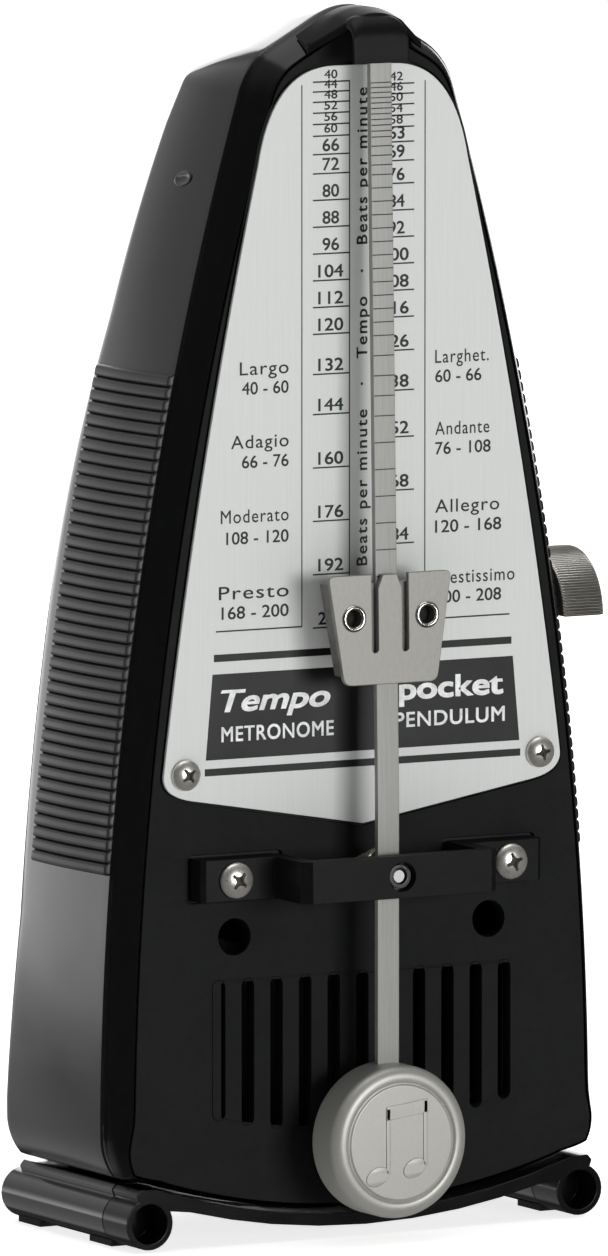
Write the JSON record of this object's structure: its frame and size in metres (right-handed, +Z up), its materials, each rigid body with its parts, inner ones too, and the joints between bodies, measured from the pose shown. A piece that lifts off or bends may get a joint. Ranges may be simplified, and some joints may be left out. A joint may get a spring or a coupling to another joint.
{
  "type": "metronome",
  "caption": "Pocket pendulum metronome: tapering black case, printed scale plate, exposed swinging rod with sliding tempo weight, round counterweight and side winding key.",
  "frame": {"origin": "centre of the footprint, on the surface that the metronome stands on", "axes": "+Z up, +Y towards the back of the case, +X towards the winding key"},
  "size_m": [0.0768, 0.0444, 0.16],
  "materials": {
    "gloss_black": "glossy black moulded plastic",
    "matte_black": "fine-textured matte black plastic",
    "scale_aluminium": "vertically brushed, printed in black",
    "satin_steel": "satin steel strip with engraved marks",
    "satin_nickel": "satin nickel plating",
    "bright_nickel": "bright nickel plating",
    "cast_zinc": "dark cast metal, as cast",
    "brass": "turned and stamped brass",
    "steel": "plain steel",
    "rubber": "soft black rubber"
  },
  "bodies": {
    "case": {"housing": "gloss_black", "front_frame": "gloss_black", "base_front": "gloss_black", "base_rear": "gloss_black", "front_panel": "matte_black", "rod_catch": "matte_black", "pendulum_bridge": "matte_black", "key_collar": "matte_black", "foot_pad_front_left": "rubber", "foot_pad_front_right": "rubber", "foot_pad_rear_left": "rubber", "foot_pad_rear_right": "rubber", "scale_plate": "scale_aluminium", "scale_screw_left": "bright_nickel", "bridge_screw_left": "bright_nickel", "housing_screw_left": "steel", "movement_plate_left": "brass", "scale_screw_right": "bright_nickel", "bridge_screw_right": "bright_nickel", "housing_screw_right": "steel", "movement_plate_right": "brass", "bridge_bush": "brass", "axle_cock": "brass", "crown_potence": "brass", "click_pin": "steel", "click_spring": "steel", "pillar_1": "brass", "pillar_screw_1": "steel", "pillar_2": "brass", "pillar_screw_2": "steel", "pillar_3": "brass", "pillar_screw_3": "steel", "pillar_4": "brass", "pillar_screw_4": "steel"},
    "pendulum": {"pendulum_rod": "satin_steel", "counterweight": "satin_nickel", "pendulum_hub": "brass", "pendulum_axle": "steel"},
    "tempo_weight": {"tempo_weight_face": "satin_nickel", "tempo_weight_body": "cast_zinc", "tempo_rivet_left": "bright_nickel", "tempo_rivet_right": "bright_nickel"},
    "winding": {"winding_key": "satin_nickel", "winding_arbor": "steel", "ratchet_wheel": "steel"},
    "click": {"click": "steel"},
    "barrel": {"mainspring_barrel": "brass", "barrel_lid": "brass", "mainspring": "steel"},
    "second_shaft": {"second_arbor": "steel", "second_wheel": "brass"},
    "third_shaft": {"third_arbor": "steel", "third_wheel": "brass"},
    "crown_shaft": {"crown_arbor": "steel", "crown_wheel": "brass"}
  },
  "joints": [
    {"name": "pendulum_swing", "type": "hinge", "parent": "case", "child": "pendulum", "pos_m": [-0.00143, -0.01135, 0.048], "axis": [0, 1, 0], "range_deg": [-22, 22]},
    {"name": "tempo_weight_slide", "type": "slide", "parent": "pendulum", "child": "tempo_weight", "axis": [0, 0.023, 0.9997], "range_m": [-0.005, 0.0635]},
    {"name": "winding_turn", "type": "hinge", "parent": "case", "child": "winding", "pos_m": [0.03558, 0.00315, 0.083], "axis": [1, 0, 0], "continuous": true},
    {"name": "click_lift", "type": "hinge", "parent": "case", "child": "click", "pos_m": [0.01328, 0.01235, 0.0862], "axis": [1, 0, 0], "range_deg": [-12, 0], "stiffness_Nm_per_rad": 0.0005},
    {"name": "barrel_turn", "type": "hinge", "parent": "case", "child": "barrel", "pos_m": [-0.00143, 0.00315, 0.083], "axis": [1, 0, 0], "continuous": true},
    {"name": "second_turn", "type": "hinge", "parent": "case", "child": "second_shaft", "pos_m": [0.00358, 0.00315, 0.06971], "axis": [1, 0, 0], "continuous": true},
    {"name": "third_turn", "type": "hinge", "parent": "case", "child": "third_shaft", "pos_m": [0.00358, 0.00315, 0.05863], "axis": [1, 0, 0], "continuous": true},
    {"name": "crown_turn", "type": "hinge", "parent": "case", "child": "crown_shaft", "pos_m": [0.00358, 0.00315, 0.048], "axis": [1, 0, 0], "continuous": true}
  ],
  "couplings": [
    {"joint": "second_turn", "follows": "barrel_turn", "ratio": -4},
    {"joint": "third_turn", "follows": "barrel_turn", "ratio": 16},
    {"joint": "crown_turn", "follows": "barrel_turn", "ratio": -48}
  ]
}
